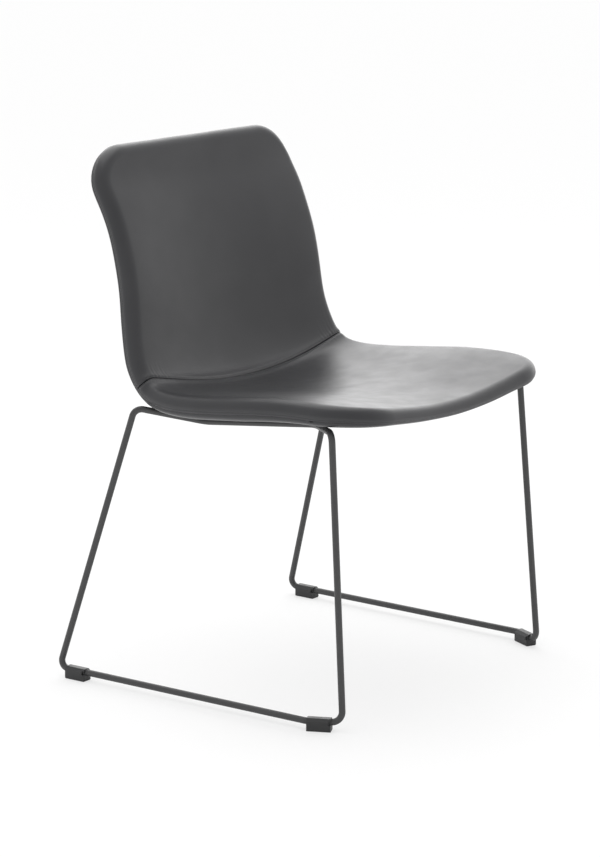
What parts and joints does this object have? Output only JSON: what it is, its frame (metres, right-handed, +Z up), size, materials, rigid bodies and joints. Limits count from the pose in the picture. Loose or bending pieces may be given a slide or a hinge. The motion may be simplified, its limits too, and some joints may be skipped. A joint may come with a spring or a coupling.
{
  "type": "sled base visitor chair",
  "caption": "Visitor chair with a one-piece S-curved shell upholstered in dark grey leather, standing on a sled base of bent round steel rod with clip-on floor glides.",
  "frame": {"origin": "on the floor, under the middle of the chair's overall box", "axes": "+Z up; the sitter faces -Y, so the back rest is towards +Y; X runs across the chair, +X at the sitter's left; the chair is symmetric about X = 0"},
  "size_m": [0.6158, 0.5465, 0.8162],
  "materials": {
    "leather": "smooth semi-matt leather, dark grey",
    "foam": "moulded foam, hidden under the leather",
    "moulded_wood": "moulded plywood, hidden inside the upholstery",
    "powder_coat": "fine matt powder coat, dark grey",
    "glide_plastic": "moulded black plastic",
    "rubber": "black rubber",
    "fasteners": "zinc-plated steel"
  },
  "bodies": {
    "root": {"shell_core": "moulded_wood", "seat_foam": "foam", "back_foam": "foam", "seat_cover": "leather", "back_cover": "leather", "outer_cover": "leather", "sled_rod_left": "powder_coat", "sled_rod_right": "powder_coat", "front_cross_bar": "powder_coat", "rear_cross_bar": "powder_coat", "mount_tab_front_left": "powder_coat", "mount_tab_front_right": "powder_coat", "mount_tab_rear_left": "powder_coat", "mount_tab_rear_right": "powder_coat", "rubber_pad_front_left": "rubber", "rubber_pad_front_right": "rubber", "rubber_pad_rear_left": "rubber", "rubber_pad_rear_right": "rubber", "shell_screws": "fasteners", "shell_washers": "fasteners", "tee_nuts": "fasteners", "glide_front_left": "glide_plastic", "glide_front_right": "glide_plastic", "glide_rear_left": "glide_plastic", "glide_rear_right": "glide_plastic"}
  },
  "joints": []
}
